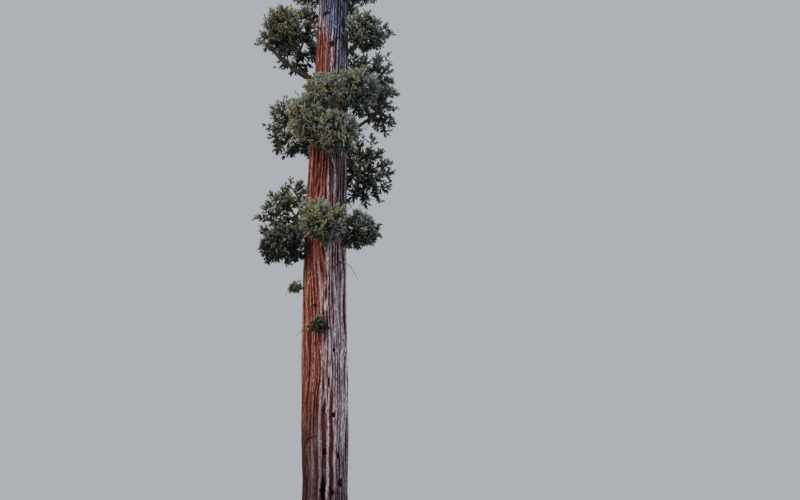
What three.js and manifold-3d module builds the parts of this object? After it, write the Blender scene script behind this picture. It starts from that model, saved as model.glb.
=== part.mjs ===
// A giant sequoia on level ground: a tapering trunk with a flared foot, boughs that rise from it, and a dense
// mass of foliage on the end of each. Millimetres, +Z up, origin at the middle of the cut under the trunk.
// Every size here is the living tree's, and the whole tree is scaled evenly to MODEL_HEIGHT at the end.
// Azimuths are in degrees: 0 is +X, 90 is +Y, and the side that is best known faces -Y.
import * as THREE from "three";
import { mergeVertices } from "three/addons/utils/BufferGeometryUtils.js";
import Module from "manifold-3d";

const wasm = await Module();
wasm.setup();

const LIFE_HEIGHT = 72000;
const MODEL_HEIGHT = 40000;
const SCALE = MODEL_HEIGHT / LIFE_HEIGHT;
const GAP = 0.3 / SCALE; // clear space between two solids that meet
const GOLDEN_TURN = 137.5; // degrees from one limb of a spiral to the next

// The trunk: a long taper, a slight waist above the foot, buttresses where the foot flares, and ribs of bark
// that run up it side by side and lean to and fro.
const TRUNK_RADIUS = 1820;
const TRUNK_TAPER_POWER = 2.2;
const TRUNK_TIP_RADIUS = 35;
const WAIST_DEPTH = 0.09;
const WAIST_HEIGHT = 4200;
const WAIST_SPREAD = 2600;
const FLARE = 980;
const FLARE_HEIGHT = 1300;
const BUTTRESSES = 7;
const BUTTRESS_DEPTH = 0.3;
const FLUTES = 5;
const FLUTE_DEPTH = 0.018;
const SWEEP = 300; // how far the trunk bows towards -X
const SWEEP_HEIGHT = 44000; // the height at which it is back over its foot
const RIBS = 18;
const RIB_HEIGHT = 65;
const RIB_VARIETY = 0.3; // how much a rib swells and fades, as a share of its height
const RIB_RHYTHM = 5200;
const RIB_SWAY = 5; // degrees
const RIB_SWAY_LENGTH = 9000;
const TRUNK_SIDES = 2 * RIBS; // a side for each flank of a rib
const TRUNK_RINGS = 20;
const RING_CROWDING = 1.65; // rings stand closer together near the foot

// The room round the trunk that the cores of foliage keep out of: a plainer shape, with no ribs.
const ROOM = { clearance: 170, sides: 12, rings: 8, ribHeight: 0 };

// The boughs.
const BOUGH_SIDES = 6;
const BOUGH_RINGS = 4;
const BOUGH_GIRTH = 0.085; // radius at the trunk, as a share of the foliage's spread
const BOUGH_GIRTH_LEAST = 70;
const BOUGH_TIP = 0.5; // radius at the tip, as a share of the radius at the trunk
const COLLAR = 0.7; // how much wider a limb is where it leaves the trunk
const COLLAR_LENGTH = 0.16;
const ROOT_DEPTH = 0.6; // a limb starts at this share of the trunk's radius
const BEND_OUT = 0.55; // where a bough bends upwards, as shares of the way out and up
const BEND_UP = 0.25;
const BOUGH_ENTRY = { out: -0.42, up: -0.3 }; // where a bough goes in, in its mass's spreads and depths
const DEAD_TIP = 0.3;
const DEAD_RINGS = 5;

// The foliage: every mass has a stem, a core that bulges round its twigs, and sprays at the end of each twig.
// A mass that spreads further than the first number has the second number of twigs.
const TWIGS = [[2000, 5], [700, 4], [0, 3]];
const CORE_SHARE = 0.78; // the core's radii, as a share of the mass's
const CORE_BULGE = 0.26; // how much further out it is at a twig
const TWIG_REACH = 0.9; // as a share of the mass's radii
const TWIG_RADIUS = 55;
const SPRAYS = 2; // on each twig
const SPRAY_ROOT = 0.62; // where a spray leaves its twig, as a share of the mass's radii
const SPRAY_LENGTH = 0.72; // as a share of the mass's spread
const SPRAY_LENGTH_RANGE = 0.14;
const SPRAY_TILT = 55; // degrees from its twig
const SPRAY_TILT_RANGE = 28;
const SPRAY_THICKNESS = 0.06; // as a share of its length
const STEM_SIDES = 5;
const STEM_RINGS = 2;
const STEM_GIRTH = 0.034; // radius of a stem on the trunk itself, as a share of the mass's spread
const STEM_TIP = 0.5;
const SPACE_MARGIN = 1.25; // a spray stays within this many radii of its mass's centre
const DICE_PER_MASS = 16; // rows of numbers kept for each mass, one for itself and one for each twig

// Foliage whose place is known. height, azimuth and out give its centre, out being measured from the trunk's
// axis; spread and depth are its level and upright radii; leaves is the height where its bough leaves the
// trunk. entry says where the bough goes in, in spreads outwards and depths upwards from the centre.
const KNOWN = [
  { name: "low_front", height: 24300, azimuth: 272, out: 4000, spread: 2050, depth: 1850, leaves: 23200 },
  { name: "low_left", height: 23100, azimuth: 200, out: 3500, spread: 2150, depth: 1600, leaves: 22100 },
  { name: "low_right", height: 24200, azimuth: 328, out: 3300, spread: 1650, depth: 1750, leaves: 23000 },
  { name: "mid_left", height: 32800, azimuth: 247, out: 3700, spread: 1750, depth: 2150, leaves: 31000 },
  { name: "mid_top", height: 35200, azimuth: 268, out: 3700, spread: 1900, depth: 1600, leaves: 33800 },
  { name: "mid_right", height: 35500, azimuth: 306, out: 3950, spread: 1850, depth: 1900, leaves: 33600 },
  { name: "mid_low_right", height: 31600, azimuth: 286, out: 4000, spread: 1750, depth: 1900, leaves: 30200 },
  { name: "mid_far_right", height: 35400, azimuth: 8, out: 4200, spread: 1600, depth: 2600, leaves: 33000 },
  {
    name: "high_left", height: 42000, azimuth: 184, out: 4300, spread: 2150, depth: 2250, leaves: 37400,
    entry: { out: 0.4, up: -0.7 },
  },
  { name: "high_right", height: 41500, azimuth: 345, out: 3100, spread: 1950, depth: 2000, leaves: 39700 },
  { name: "high_front", height: 46100, azimuth: 330, out: 3500, spread: 2000, depth: 1700, leaves: 44700 },
];

// Small sprigs that grow straight out of the trunk's bark, below the crown.
const SPRIGS = [
  { name: "sprig_left", height: 19800, azimuth: 195, out: 2350, spread: 620, depth: 400, leaves: 19600 },
  { name: "sprig_front", height: 16500, azimuth: 264, out: 2350, spread: 650, depth: 950, leaves: 16100 },
];

// Dead branches, with no foliage: a curve through three points, each as [azimuth, out, height].
const DEAD = [
  { name: "right", radius: 75, through: [[284, 1200, 20500], [311, 2350, 21600], [337, 2950, 20250]] },
  { name: "left", radius: 80, through: [[226, 1000, 31500], [208, 2900, 32200], [201, 3700, 30600]] },
  { name: "front", radius: 80, through: [[268, 1000, 30300], [276, 2750, 30500], [284, 3000, 29200]] },
];

// The side away from the known one is filled by a row of masses that swings to and fro. below is how far
// under a mass its bough leaves the trunk, as a share of its depth.
const BACK = {
  count: 5, lowest: 26600, step: 4000, azimuth: 92, swing: 40,
  out: 4100, spread: 3000, depth: 3100, below: 0.75,
};

// Above them the crown is a spiral that narrows to a rounded top.
const UPPER = {
  count: 13, lowest: 48200, step: 1580, azimuth: 95,
  spread: 3700, spreadTop: 2300, flatness: 0.95, below: 0.7,
};
const UPPER_ON_BOUGHS = 5; // the masses above these grow straight from the trunk
const CROWN_RADIUS = 7700;
const CROWN_WIDEST = 40000;
const CROWN_TOP = 73000;
const CROWN_BLUNTNESS = 0.75;
const TOP = {
  count: 3, highest: 70000, step: 1100, azimuth: 300, out: 1050, spread: 1550, depth: 1950, below: 0.6,
};

const BARK = new THREE.MeshStandardMaterial({ color: 0x8a4f38, roughness: 0.95, metalness: 0 });
const BOUGH_BARK = new THREE.MeshStandardMaterial({ color: 0x6b5348, roughness: 0.95, metalness: 0 });
const DEAD_WOOD = new THREE.MeshStandardMaterial({ color: 0x9a8f84, roughness: 0.9, metalness: 0 });
const FOLIAGE = new THREE.MeshStandardMaterial({ color: 0x5c6849, roughness: 0.85, metalness: 0 });

const radians = THREE.MathUtils.degToRad;

// A repeatable row of numbers from 0 to 1.
function dice(seed) {
  let state = Math.imul(seed, 2654435761) >>> 0;
  return () => {
    state = (Math.imul(state, 1664525) + 1013904223) >>> 0;
    return state / 2 ** 32;
  };
}

// A geometry as a solid, its points merged where they meet and then put in their places by move.
function solidOf(geometry, move) {
  geometry.deleteAttribute("normal");
  geometry.deleteAttribute("uv");
  const merged = mergeVertices(geometry);
  const places = merged.getAttribute("position");
  const point = new THREE.Vector3();
  for (let i = 0; i < places.count; i++) {
    move(point.fromBufferAttribute(places, i));
    places.setXYZ(i, point.x, point.y, point.z);
  }
  const triVerts = new Uint32Array(merged.index.array);
  return new wasm.Manifold(new wasm.Mesh({ numProp: 3, vertProperties: places.array, triVerts }));
}

// A solid as a geometry again.
function geometryOf(solid) {
  const mesh = solid.getMesh();
  const geometry = new THREE.BufferGeometry();
  geometry.setAttribute("position", new THREE.BufferAttribute(mesh.vertProperties, mesh.numProp));
  geometry.setIndex(new THREE.BufferAttribute(mesh.triVerts, 1));
  geometry.computeVertexNormals();
  return geometry;
}

// The trunk's axis at a height.
function trunkAxis(height) {
  const bow = height < SWEEP_HEIGHT ? Math.sin((Math.PI * height) / SWEEP_HEIGHT) ** 2 : 0;
  return new THREE.Vector3(-SWEEP * bow, 0, height);
}

// How far round the trunk its ribs have swayed at a height.
function ribSway(height) {
  return radians(RIB_SWAY) * Math.sin(height / RIB_SWAY_LENGTH);
}

// The trunk's radius at a height, towards an angle.
function trunkRadius(height, angle, ribHeight = RIB_HEIGHT) {
  const taper = 1 - (height / LIFE_HEIGHT) ** TRUNK_TAPER_POWER;
  const waist = 1 - WAIST_DEPTH * Math.exp(-(((height - WAIST_HEIGHT) / WAIST_SPREAD) ** 2));
  const flutes = 1 + FLUTE_DEPTH * Math.cos(FLUTES * angle + height / SWEEP_HEIGHT);
  const buttresses = 1 + BUTTRESS_DEPTH * Math.cos(BUTTRESSES * angle + Math.sin(2 * angle));
  const flare = FLARE * Math.exp(-height / FLARE_HEIGHT) * buttresses;
  const swelling = 1 - RIB_VARIETY + RIB_VARIETY * Math.sin(3 * angle + height / RIB_RHYTHM);
  const ribs = ribHeight * taper * swelling * Math.cos(RIBS * (angle - ribSway(height)));
  return Math.max(TRUNK_TIP_RADIUS, TRUNK_RADIUS * taper * waist * flutes + flare + ribs);
}

// The point at an azimuth and a distance out from the trunk's axis, at a height.
function around(azimuth, out, height) {
  const turned = radians(azimuth);
  return trunkAxis(height).add(new THREE.Vector3(out * Math.cos(turned), out * Math.sin(turned), 0));
}

// The trunk, or the space that it and a gap round it take.
function trunkSolid(gap = 0, sides = TRUNK_SIDES, rings = TRUNK_RINGS, ribHeight = RIB_HEIGHT) {
  const cylinder = new THREE.CylinderGeometry(1, 1, 1, sides, rings);
  return solidOf(cylinder, (point) => {
    const height = LIFE_HEIGHT * (point.y + 0.5) ** RING_CROWDING;
    const share = Math.hypot(point.x, point.z);
    const angle = Math.atan2(-point.z, point.x) + ribSway(height);
    const radius = share * (trunkRadius(height, angle, ribHeight) + gap);
    point.set(radius * Math.cos(angle), radius * Math.sin(angle), 0).add(trunkAxis(height));
  });
}

// A closed tube along a curve, whose radius depends on the share of its length.
function limb(curve, radiusAt, sides, rings) {
  const frames = curve.computeFrenetFrames(rings);
  return solidOf(new THREE.CylinderGeometry(1, 1, 1, sides, rings), (point) => {
    const share = point.y + 0.5;
    const ring = Math.round(share * rings);
    const radius = radiusAt(share);
    const { x, z } = point;
    point.copy(curve.getPointAt(share));
    point.addScaledVector(frames.normals[ring], radius * x);
    point.addScaledVector(frames.binormals[ring], -radius * z);
  });
}

// A tapering radius that widens to a collar at the trunk.
function tapering(radius, tip, gap = 0) {
  return (share) => radius * (1 - (1 - tip) * share + COLLAR * Math.exp(-share / COLLAR_LENGTH)) + gap;
}

// The largest of a solid's separate pieces, with points closer than the gap merged.
function whole(solid) {
  const pieces = solid.decompose().sort((a, b) => b.volume() - a.volume());
  return pieces[0].simplify(GAP);
}

const trunk = { name: "trunk", solid: trunkSolid(), space: trunkSolid(2 * GAP), material: BARK };
const trunkRoom = trunkSolid(ROOM.clearance, ROOM.sides, ROOM.rings, ROOM.ribHeight);

// Where a mass's bough or stem starts, inside the trunk.
function insideTrunk({ azimuth, leaves }) {
  return around(azimuth, ROOT_DEPTH * trunkRadius(leaves, 0), leaves);
}

// A bough from inside the trunk, cut clear of it, to where it enters its foliage. It leaves nearly level and
// then rises.
function growBough(mass) {
  const girth = BOUGH_GIRTH_LEAST + BOUGH_GIRTH * mass.spread;
  const entry = mass.entry ?? BOUGH_ENTRY;
  const end = around(mass.azimuth, mass.out + entry.out * mass.spread, mass.height + entry.up * mass.depth);
  const start = insideTrunk(mass);
  const bend = start.clone().lerp(end, BEND_OUT);
  bend.z = start.z + BEND_UP * (end.z - start.z);
  const curve = new THREE.QuadraticBezierCurve3(start, bend, end);
  const onward = curve.getTangentAt(1);
  const beyond = end.clone().addScaledVector(onward, 0.9 * GAP);
  const longer = new THREE.QuadraticBezierCurve3(start, bend, beyond);
  return {
    name: "bough_" + mass.name,
    solid: whole(limb(curve, tapering(girth, BOUGH_TIP), BOUGH_SIDES, BOUGH_RINGS).subtract(trunk.space)),
    space: limb(longer, tapering(girth, BOUGH_TIP, 3 * GAP), BOUGH_SIDES, BOUGH_RINGS),
    material: BOUGH_BARK,
    tip: end.clone().addScaledVector(onward, GAP),
    onward,
    tipRadius: girth * BOUGH_TIP,
  };
}

// A dead branch, cut clear of the trunk.
function growDeadBranch({ name, radius, through }) {
  const curve = new THREE.CatmullRomCurve3(through.map((place) => around(...place)));
  return {
    name: "dead_branch_" + name,
    solid: whole(limb(curve, tapering(radius, DEAD_TIP), STEM_SIDES, DEAD_RINGS).subtract(trunk.space)),
    space: limb(curve, tapering(radius, DEAD_TIP, 2 * GAP), STEM_SIDES, DEAD_RINGS),
    material: DEAD_WOOD,
  };
}

// The way that a twig points, when a number of twigs are spread evenly over a ball.
function twigWay(number, count, turn) {
  const rise = 1 - (2 * number + 1) / count;
  const level = Math.sqrt(1 - rise * rise);
  const angle = radians(turn + GOLDEN_TURN * number);
  return new THREE.Vector3(level * Math.cos(angle), level * Math.sin(angle), rise);
}

// A spray's outline as [along, across], from its root round its three fingers and the notches between them.
const SPRAY_OUTLINE = [[0, 0], [0.6, -0.5], [0.66, -0.2], [1, 0], [0.66, 0.2], [0.6, 0.5]];
const SPRAY_MIDDLE = 0.5;

// A spray of foliage: a thin toothed blade of twelve faces, thickest in the middle.
function spray(root, tip, roll) {
  const points = SPRAY_OUTLINE.length;
  const length = root.distanceTo(tip);
  const way = tip.clone().sub(root).normalize();
  const across = new THREE.Vector3(0, 0, 1).cross(way).normalize().applyAxisAngle(way, roll);
  const face = way.clone().cross(across);
  return solidOf(new THREE.SphereGeometry(1, points, 2), (point) => {
    const pole = Math.abs(point.y) > 0.5 ? Math.sign(point.y) : 0;
    const number = Math.round((Math.atan2(point.z, -point.x) / (2 * Math.PI) + 1) * points) % points;
    const [u, v] = pole ? [SPRAY_MIDDLE, 0] : SPRAY_OUTLINE[number];
    point.copy(root).addScaledVector(way, u * length);
    point.addScaledVector(across, v * length);
    point.addScaledVector(face, pole * SPRAY_THICKNESS * length);
  });
}

// The core of a mass, with a gap round it: a ball that is turned by a share of a circle and bulges towards
// each way.
function core(centre, radii, ways, turned, detail, gap = 0) {
  const ball = new THREE.IcosahedronGeometry(1, detail);
  ball.rotateX(2 * Math.PI * turned).rotateZ(4 * Math.PI * turned);
  return solidOf(ball, (point) => {
    const nearest = Math.max(0, ...ways.map((way) => way.dot(point)));
    const share = CORE_SHARE * (1 + CORE_BULGE * (nearest ** 4 - 0.5));
    point.multiply(radii.clone().multiplyScalar(share).addScalar(gap)).add(centre);
  });
}

// Whether two boxes come within a gap of each other.
function near(a, b) {
  const [p, q] = [a.boundingBox(), b.boundingBox()];
  return [0, 1, 2].every((i) => p.min[i] - 2 * GAP < q.max[i] && q.min[i] - 2 * GAP < p.max[i]);
}

// Whether a piece comes within a gap of any of the others.
function touches(piece, others) {
  return others.some((other) => near(piece, other) && piece.minGap(other, 2 * GAP) < 2 * GAP);
}

// The inside of a mass of foliage: a stem from its bough's tip or from inside the trunk to the middle, and
// the core. It is cut clear of the limbs and of the masses that are there already.
function growMass(mass, seed, bough, limbs, masses) {
  const centre = around(mass.azimuth, mass.out, mass.height);
  const radii = new THREE.Vector3(mass.spread, mass.spread, mass.depth);
  const start = bough ? bough.tip : insideTrunk(mass);
  const reach = start.distanceTo(centre) / 3;
  const bend = bough ? start.clone().addScaledVector(bough.onward, reach) : start.clone().lerp(centre, 0.5);
  const stemRadius = bough ? bough.tipRadius : TWIG_RADIUS + STEM_GIRTH * mass.spread;
  const stemCurve = new THREE.QuadraticBezierCurve3(start, bend, centre);
  const stem = limb(stemCurve, (share) => stemRadius * (1 - STEM_TIP * share), STEM_SIDES, STEM_RINGS);
  const count = TWIGS.find(([spread]) => mass.spread > spread)[1];
  const detail = count > 3 ? 1 : 0;
  const roll = dice(DICE_PER_MASS * seed);
  const turn = 360 * roll();
  const turned = roll();
  const ways = Array.from({ length: count }, (_, i) => twigWay(i, count, turn));
  let solid = stem.add(core(centre, radii, ways, turned, detail).subtract(trunkRoom));
  for (const { space } of [...limbs, ...masses]) if (near(solid, space)) solid = solid.subtract(space);
  solid = whole(solid);
  const space = core(centre, radii, ways, turned, detail, 3 * GAP);
  return { name: "foliage_" + mass.name, material: FOLIAGE, solid, space, seed, centre, radii, ways };
}

// A mass's twigs, each with its sprays. What would leave the mass's own space or touch a limb or another mass
// is left out.
function leafOut(mass, limbs, masses) {
  const { seed, centre, radii, ways } = mass;
  const neighbours = masses.filter((one) => one !== mass);
  const others = [...limbs.map((one) => one.space), ...neighbours.map((one) => one.solid)];
  const parts = [mass.solid];
  for (const [i, way] of ways.entries()) {
    const roll = dice(DICE_PER_MASS * seed + i + 1);
    const outwards = way.clone().multiply(radii);
    const twigEnd = centre.clone().addScaledVector(outwards, TWIG_REACH);
    const twig = limb(new THREE.LineCurve3(centre, twigEnd), (share) => TWIG_RADIUS * (1.5 - share), 3, 1);
    if (!touches(twig, others)) parts.push(twig);
    const side = new THREE.Vector3(0, 0, 1).cross(way).normalize();
    const root = centre.clone().addScaledVector(outwards, SPRAY_ROOT);
    for (let j = 0; j < SPRAYS; j++) {
      const tilt = radians(SPRAY_TILT + SPRAY_TILT_RANGE * (roll() - 0.5));
      const spun = (2 * Math.PI * (j + roll() * 0.5)) / SPRAYS;
      const sprayWay = way.clone().applyAxisAngle(side, tilt).applyAxisAngle(way, spun);
      const length = radii.x * (SPRAY_LENGTH + SPRAY_LENGTH_RANGE * (roll() - 0.5));
      const tip = root.clone().addScaledVector(sprayWay, length);
      const blade = spray(root, tip, Math.PI * roll());
      const leavesSpace = tip.clone().sub(centre).divide(radii).length() > SPACE_MARGIN;
      if (!leavesSpace && !touches(blade, others)) parts.push(blade);
    }
  }
  mass.solid = whole(wasm.Manifold.union(parts));
}

// How far the crown reaches from the trunk's axis at a height.
function crownRadius(height) {
  const share = (height - CROWN_WIDEST) / (CROWN_TOP - CROWN_WIDEST);
  return CROWN_RADIUS * (1 - share * share) ** CROWN_BLUNTNESS;
}

// The masses of the hidden side.
function backMasses() {
  return Array.from({ length: BACK.count }, (_, i) => {
    const height = BACK.lowest + BACK.step * i;
    const azimuth = BACK.azimuth + BACK.swing * (i % 2 ? -1 : 1);
    return { ...BACK, name: "back_" + (i + 1), height, azimuth, leaves: height - BACK.below * BACK.depth };
  });
}

// The spiral of masses of the upper crown.
function upperMasses() {
  return Array.from({ length: UPPER.count }, (_, i) => {
    const height = UPPER.lowest + UPPER.step * i;
    const spread = THREE.MathUtils.lerp(UPPER.spread, UPPER.spreadTop, i / (UPPER.count - 1));
    const depth = spread * UPPER.flatness;
    const azimuth = (UPPER.azimuth + GOLDEN_TURN * i) % 360;
    const out = crownRadius(height) - spread;
    const leaves = height - UPPER.below * depth;
    return { name: "upper_" + (i + 1), height, azimuth, out, spread, depth, leaves };
  });
}

// The masses round the leader at the very top.
function topMasses() {
  return Array.from({ length: TOP.count }, (_, i) => {
    const height = TOP.highest - TOP.step * i;
    const azimuth = TOP.azimuth - (360 / TOP.count) * i;
    return { ...TOP, name: "top_" + (i + 1), height, azimuth, leaves: height - TOP.below * TOP.depth };
  });
}

const boughed = [...KNOWN, ...backMasses(), ...upperMasses().slice(0, UPPER_ON_BOUGHS)];
const boughless = [...SPRIGS, ...upperMasses().slice(UPPER_ON_BOUGHS), ...topMasses()];
const boughs = new Map(boughed.map((mass) => [mass.name, growBough(mass)]));
const limbs = [trunk, ...boughs.values(), ...DEAD.map(growDeadBranch)];
const masses = [];
for (const [i, mass] of [...boughed, ...boughless].entries()) {
  masses.push(growMass(mass, i + 1, boughs.get(mass.name), limbs, masses));
}
for (const mass of masses) leafOut(mass, limbs, masses);

const tree = new THREE.Group();
for (const { name, solid, material } of [...limbs, ...masses]) {
  const mesh = new THREE.Mesh(geometryOf(solid), material);
  mesh.name = name;
  tree.add(mesh);
}
tree.scale.setScalar(SCALE);

export default tree;
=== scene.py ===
import math
from collections import namedtuple
from types import SimpleNamespace

import bpy
import numpy as np
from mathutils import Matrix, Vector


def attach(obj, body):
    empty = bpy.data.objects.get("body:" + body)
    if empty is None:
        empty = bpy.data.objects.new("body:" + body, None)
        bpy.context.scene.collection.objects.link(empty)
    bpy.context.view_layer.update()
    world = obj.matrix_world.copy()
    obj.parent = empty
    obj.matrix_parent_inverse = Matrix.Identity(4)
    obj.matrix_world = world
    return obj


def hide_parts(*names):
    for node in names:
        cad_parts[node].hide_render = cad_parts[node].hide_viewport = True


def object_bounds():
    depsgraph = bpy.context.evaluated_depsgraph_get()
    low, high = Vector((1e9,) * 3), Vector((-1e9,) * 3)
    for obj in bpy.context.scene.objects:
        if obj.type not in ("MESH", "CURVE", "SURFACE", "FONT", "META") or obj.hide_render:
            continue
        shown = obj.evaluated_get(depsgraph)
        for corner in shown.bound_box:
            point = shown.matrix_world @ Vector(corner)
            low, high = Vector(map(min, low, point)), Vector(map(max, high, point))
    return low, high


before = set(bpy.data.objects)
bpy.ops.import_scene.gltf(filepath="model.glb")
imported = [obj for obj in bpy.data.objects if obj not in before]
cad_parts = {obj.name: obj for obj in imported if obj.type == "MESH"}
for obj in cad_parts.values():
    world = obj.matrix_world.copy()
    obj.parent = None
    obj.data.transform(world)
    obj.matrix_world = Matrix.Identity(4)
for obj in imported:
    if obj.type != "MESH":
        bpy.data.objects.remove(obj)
cad_low, cad_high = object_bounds()

LIFE_HEIGHT = 72.0
MODEL_HEIGHT = 40.0
SCALE = MODEL_HEIGHT / LIFE_HEIGHT
GOLDEN_TURN = math.radians(137.5)
UP = np.array([0.0, 0.0, 1.0])
PIECE_TRIANGLES = 190000
NOISE_ROWS = 509

# The trunk: a long taper, a slight waist above the foot, buttresses where the foot flares, and ribs of
# bark that run up it side by side and lean to and fro.
TRUNK_RADIUS = 1.82
TRUNK_TAPER_POWER = 2.2
TRUNK_TIP_RADIUS = 0.035
WAIST_DEPTH = 0.09
WAIST_HEIGHT = 4.2
WAIST_SPREAD = 2.6
FLARE = 0.98
FLARE_HEIGHT = 1.3
BUTTRESSES = 7
BUTTRESS_DEPTH = 0.3
FLUTES = 5
FLUTE_DEPTH = 0.018
SWEEP = 0.3
SWEEP_HEIGHT = 44.0
RIBS = 18
RIB_HEIGHT = 0.065
RIB_VARIETY = 0.3
RIB_RHYTHM = 5.2
RIB_SWAY = math.radians(5)
RIB_SWAY_LENGTH = 9.0
# The trunk's mesh. Its rings are closer together near the foot and at every mark. The relief shrinks with
# the trunk, as far as LEAST_RELIEF of itself, and leaves LEAST_RADIUS of the trunk.
TRUNK_SIDES = 384
TRUNK_RINGS = 186
RINGS_PER_MARK = 6
MARK_REACH = 1.4
RING_CROWDING = 1.2
LEAST_RELIEF = 0.25
LEAST_RADIUS = 0.4

# The bark's relief: two sets of ridges that cross at a slant, so that the furrows left between them are
# long and pointed, with narrow strands on the ridges, and lumps. Values named TONE show in the colours.
RIDGES = 36
SECOND_RIDGES = 0.94
FURROW_WIDTH = 0.4
FURROW_BLUNTNESS = 0.8
FURROW_DEPTH = 0.12
CREST_DEPTH = 0.03
STRANDS_PER_RIDGE = 3
STRAND_DEPTH = 0.02
STRAND_TONE = 0.14
LUMP_DEPTH = 0.02
LUMP_TONE = 0.07
RIB_TONE = 0.05
TONE_LENGTH = 6.0

# The noises that shape the ridges. Each changes a number of times round the trunk, and over a length.
Wobble = namedtuple("Wobble", "strength around length seed")
DRIFT = Wobble(0.9, 6, 8.0, 1)
FINE_DRIFT = Wobble(0.55, 20, 2.6, 2)
SLANT = Wobble(1.7, RIDGES // 2, 4.4, 3)
WIDENING = Wobble(0.6, RIDGES // 2, 1.3, 4)
STRAND_DRIFT = Wobble(0.7, 60, 1.3, 5)
LUMPS = Wobble(1.0, 12, 2.3, 6)
FINE_LUMPS = Wobble(0.6, 48, 0.6, 7)
TONE_SEED = 8

# Where the bark turns from its red side to its weathered one: on the known side and on the other side,
# over a band. In two windows, each a height, a spread and a turn, the red side reaches further round.
RED_ENDS = 276
RED_STARTS = 118
WINDOW = (29.0, 5.0, 22)
LOW_WINDOW = (19.0, 3.2, 7)
GREY_BAND = 60
WEATHER_BAND = 45

# The bark is wholly grey, in painted shade, worn and in painted shadow, or painted bluer as sky shade
# beyond the first height, and not at all beyond the second.
GREY_ABOVE = (43.5, 40.5)
UPPER_SHADE_ABOVE = (41.0, 36.0)
WORN_BELOW = (5.0, 13.0)
COOL_BELOW = (46.5, 52.0)

# What adds to the weathering: a ridge's own tone, its relief over a level, and where it stands.
TONE_WEATHER = 0.38
RELIEF_WEATHER = 0.9
RELIEF_LEVEL = 0.75
GREY_WEATHER = 2.2
WINDOW_WEATHER = 0.3

# Painted shade: how much darker the bark is painted on its red side, how much more so on its grey side,
# in the foot's shadow, in the shade high up and in the window's shadow under the masses above, and how
# much darker it is painted towards DIM_SIDE.
LIGHTNESS = 0.95
TONE_LIGHTNESS = 0.14
FOOT_SHADOW_DARKER = (0.54, -0.2)
UPPER_SHADE_DARKER = (0.05, 0.25)
WINDOW_SHADOW_DARKER = (0.06, 0.56)
DIM_SIDE = 190
DIM_DARKER = 0.12

# Worn bark on the red side has more even relief. High up the grey is painted bluer towards COOL_SIDE, as
# shade lit by the sky.
WORN_RELIEF = 0.62
WORN_EVENNESS = 0.6
COOL_SIDE = 290
COOL_REACH = 0.2
COOL_LEAST = 0.15

# Where the bark is broken, or has a knot where the depth is below zero.
Mark = namedtuple("Mark", "height azimuth half_width half_height depth")
MARKS = [
    Mark(9.75, 298, 0.16, 0.16, 0.22),
    Mark(6.99, 274, 0.16, 0.22, 0.22),
    Mark(6.71, 311, 0.15, 0.18, 0.22),
    Mark(4.73, 322, 0.2, 0.28, 0.26),
    Mark(4.0, 296, 0.17, 0.17, 0.22),
    Mark(4.2, 264, 0.08, 0.1, 0.12),
    Mark(4.15, 271, 0.17, 1.15, 0.3),
    Mark(40.3, 272, 0.22, 0.26, -0.12),
    Mark(43.2, 248, 0.3, 0.14, -0.1),
    Mark(14.7, 300, 0.1, 0.16, 0.14),
    Mark(12.2, 285, 0.1, 0.4, 0.12),
    Mark(18.2, 250, 0.14, 0.16, -0.08),
]

# Ridges and furrows that stand out among the rest: their heights, the azimuths there, half width, and
# how they look, as a share from furrow to crest and from red to weathered.
Seam = namedtuple("Seam", "low high azimuth_low azimuth_high half_width relief weather")
SEAMS = [
    Seam(3.2, 12.6, 280, 286, 0.11, 1.0, 1.0),
    Seam(3.6, 12.0, 302, 296, 0.09, 1.0, 1.0),
    Seam(3.4, 12.0, 291, 291, 0.17, 0.4, 0.1),
    Seam(5.3, 10.1, 272, 273, 0.15, 0.36, 0.0),
    Seam(3.0, 7.6, 253, 253, 0.14, 0.42, 0.0),
    Seam(16.3, 20.3, 314, 311, 0.1, 1.0, 1.0),
    Seam(16.8, 20.2, 327, 326, 0.1, 1.0, 1.0),
    Seam(17.6, 22.0, 316, 318, 0.13, 0.78, 1.0),
    Seam(17.2, 21.6, 331, 334, 0.16, 0.82, 1.0),
    Seam(17.3, 19.0, 278, 278, 0.08, 1.0, 1.0),
    Seam(13.8, 16.6, 289, 286, 0.09, 1.0, 0.8),
    Seam(13.0, 16.0, 274, 276, 0.07, 0.9, 0.4),
    Seam(12.9, 15.6, 321, 328, 0.09, 1.0, 1.0),
    Seam(14.9, 16.8, 300, 301, 0.08, 1.0, 1.0),
]
SEAM_WAVE = 1.4
SEAM_RHYTHM = 2.1
SEAM_FADE = 0.7
SEAM_DEPTH = 0.12
SEAM_SHARE = 0.85

# Short dead twigs that lie on the bark or stand out of it: each a radius, and a curve through places on
# the trunk, as azimuth, distance out from SNAG_DEPTH inside the bark, and height.
SNAG_DEPTH = 0.06
SNAGS = [
    (0.075, [(220, 0.2, 8.4), (236, 0.2, 8.15), (253, 0.24, 8.42)]),
    (0.06, [(232, 0.16, 8.2), (227, 0.25, 7.9), (224, 0.2, 7.5)]),
    (0.045, [(228, 0.2, 8.25), (230, 0.32, 8.5), (232, 0.36, 8.75)]),
    (0.05, [(274, 0.06, 40.4), (298, 0.12, 41.0), (326, 0.35, 40.6)]),
    (0.05, [(246, 0.02, 43.2), (256, 0.2, 43.75), (274, 0.25, 44.1)]),
    (0.045, [(252, 0.05, 16.6), (236, 0.3, 16.5), (216, 0.9, 15.8)]),
    (0.04, [(205, 0.05, 19.7), (197, 0.9, 20.0), (191, 1.5, 19.0)]),
    (0.06, [(226, 0.0, 41.9), (216, 0.5, 42.2), (208, 0.8, 42.9)]),
    (0.05, [(310, 0.0, 26.2), (322, 0.5, 26.6), (332, 1.0, 26.0)]),
]

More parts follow.
